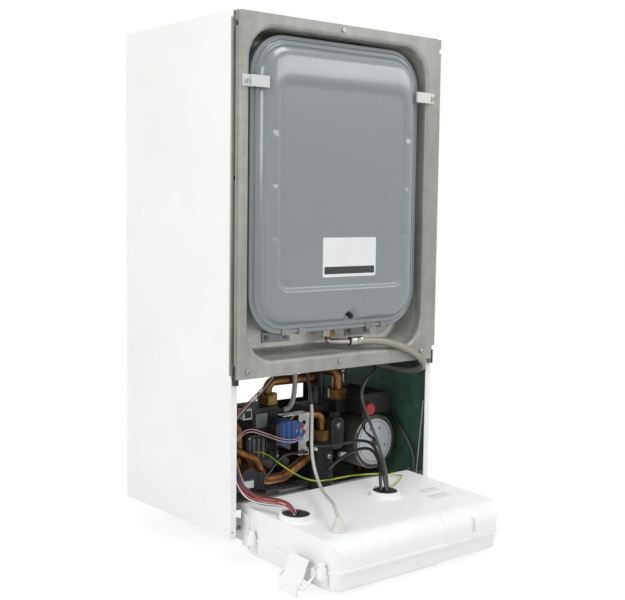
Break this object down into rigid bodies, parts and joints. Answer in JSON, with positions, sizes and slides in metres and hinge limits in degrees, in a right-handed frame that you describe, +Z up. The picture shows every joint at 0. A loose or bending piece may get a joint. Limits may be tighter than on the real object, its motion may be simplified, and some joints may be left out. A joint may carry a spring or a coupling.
{
  "type": "combi boiler",
  "caption": "Wall-hung gas combi boiler in its service state: front case off, control box folded down on its hinge, expansion vessel and water group in view.",
  "frame": {"origin": "middle of the casing's bottom edge, on the wall plane", "axes": "+X to the right as seen from the front, +Y into the wall, +Z up"},
  "size_m": [0.401, 0.4875, 0.8067],
  "materials": {
    "white_paint": "satin",
    "galvanised": "satin",
    "vessel_paint": "gloss",
    "black_rubber": "matte",
    "white_nylon": "matte",
    "white_plastic": "satin",
    "black_plastic": "matte",
    "blue_plastic": "satin",
    "red_plastic": "satin",
    "zinc_steel": "satin",
    "bright_braid": "satin",
    "brass": "satin",
    "copper": "satin",
    "cast_aluminium": "satin",
    "motor_grey": "satin",
    "pvc_grey": "satin",
    "pvc_black": "satin",
    "pvc_mixed": "satin",
    "pvc_earth": "satin",
    "board_green": "satin",
    "display_clear": "gloss"
  },
  "bodies": {
    "casing": {"air_vent": "brass", "base_tray": "galvanised", "black_cables": "pvc_black", "braided_hose": "bright_braid", "brass_nuts": "brass", "burner": "cast_aluminium", "chamber_box": "galvanised", "chamber_cover": "galvanised", "chamber_seals": "black_rubber", "coil_bracket": "zinc_steel", "combustion_case": "zinc_steel", "cover_fixings": "zinc_steel", "diverter_actuator": "black_plastic", "diverter_body": "brass", "earth_wire": "pvc_earth", "fan_housing": "cast_aluminium", "flue_hood": "zinc_steel", "flue_spigot": "cast_aluminium", "gas_pipe": "copper", "gas_valve_body": "cast_aluminium", "gas_valve_coil": "blue_plastic", "grey_cable": "pvc_grey", "grey_hose": "pvc_grey", "harness_wires": "pvc_mixed", "heat_exchanger": "cast_aluminium", "hinge_brackets": "zinc_steel", "loom_wires": "pvc_mixed", "pipe_tails": "copper", "plate_heat_exchanger": "zinc_steel", "pump_manifold": "black_plastic", "pump_motor": "motor_grey", "pump_volute": "black_plastic", "rear_frame": "galvanised", "relief_hose": "pvc_black", "side_panel_left": "white_paint", "side_panel_right": "white_paint", "vessel_back_shell": "vessel_paint", "vessel_brackets": "zinc_steel", "vessel_clips": "white_nylon", "vessel_diaphragm": "black_rubber", "vessel_elbow": "zinc_steel", "vessel_front_shell": "vessel_paint", "vessel_valve_cap": "black_plastic", "water_pipes": "copper"},
    "control_box": {"box_rear_shell": "white_plastic", "terminal_cover": "white_plastic", "box_fascia": "white_plastic", "cable_entries": "black_rubber", "circuit_board": "board_green", "pressure_gauge": "white_plastic", "display_window": "display_clear"},
    "bail": {"latch_bail": "white_plastic"},
    "lever": {"latch_lever": "white_plastic"},
    "safety_knob": {"relief_knob": "red_plastic"},
    "pump_wheel": {"pump_rotor": "zinc_steel"},
    "fan_wheel": {"fan_rotor": "cast_aluminium"},
    "knob_heating": {"control_knob_heating": "black_plastic"},
    "knob_water": {"control_knob_water": "black_plastic"},
    "button": {"reset_button": "black_plastic"},
    "needle": {"gauge_needle": "red_plastic"}
  },
  "joints": [
    {"name": "control_box_fold", "type": "hinge", "parent": "casing", "child": "control_box", "pos_m": [0, -0.279, 0.01], "axis": [-1, 0, 0], "range_deg": [0, 92], "deforming": ["harness_wires", "grey_cable", "black_cables", "earth_wire"]},
    {"name": "latch_bail_turn", "type": "hinge", "parent": "control_box", "child": "bail", "pos_m": [-0.1735, -0.42899, -0.00724], "axis": [0, 0.9994, 0.0349], "range_deg": [-35, 0]},
    {"name": "latch_lever_turn", "type": "hinge", "parent": "bail", "child": "lever", "pos_m": [-0.1955, -0.4284, -0.02423], "axis": [0, 0.9994, 0.0349], "range_deg": [-75, 0]},
    {"name": "safety_knob_turn", "type": "hinge", "parent": "casing", "child": "safety_knob", "pos_m": [0.117, -0.232, 0.146], "axis": [0, -1, 0], "range_deg": [0, 90]},
    {"name": "pump_spin", "type": "hinge", "parent": "casing", "child": "pump_wheel", "pos_m": [0.137, -0.2, 0.088], "axis": [0, 1, 0], "continuous": true},
    {"name": "fan_spin", "type": "hinge", "parent": "casing", "child": "fan_wheel", "pos_m": [-0.02, -0.129, 0.664], "axis": [0, 1, 0], "continuous": true},
    {"name": "heating_knob_turn", "type": "hinge", "parent": "control_box", "child": "knob_heating", "pos_m": [-0.035, -0.39267, -0.02999], "axis": [0, 0.0349, -0.9994], "range_deg": [0, 270]},
    {"name": "water_knob_turn", "type": "hinge", "parent": "control_box", "child": "knob_water", "pos_m": [0.008, -0.39267, -0.02999], "axis": [0, 0.0349, -0.9994], "range_deg": [0, 270]},
    {"name": "reset_button_press", "type": "slide", "parent": "control_box", "child": "button", "axis": [0, -0.0349, 0.9994], "range_m": [0, 0.0015], "stiffness_N_per_m": 400, "springref_m": -0.002},
    {"name": "gauge_needle_turn", "type": "hinge", "parent": "control_box", "child": "needle", "pos_m": [-0.138, -0.39274, -0.02799], "axis": [0, 0.0349, -0.9994], "range_deg": [-120, 120]}
  ]
}
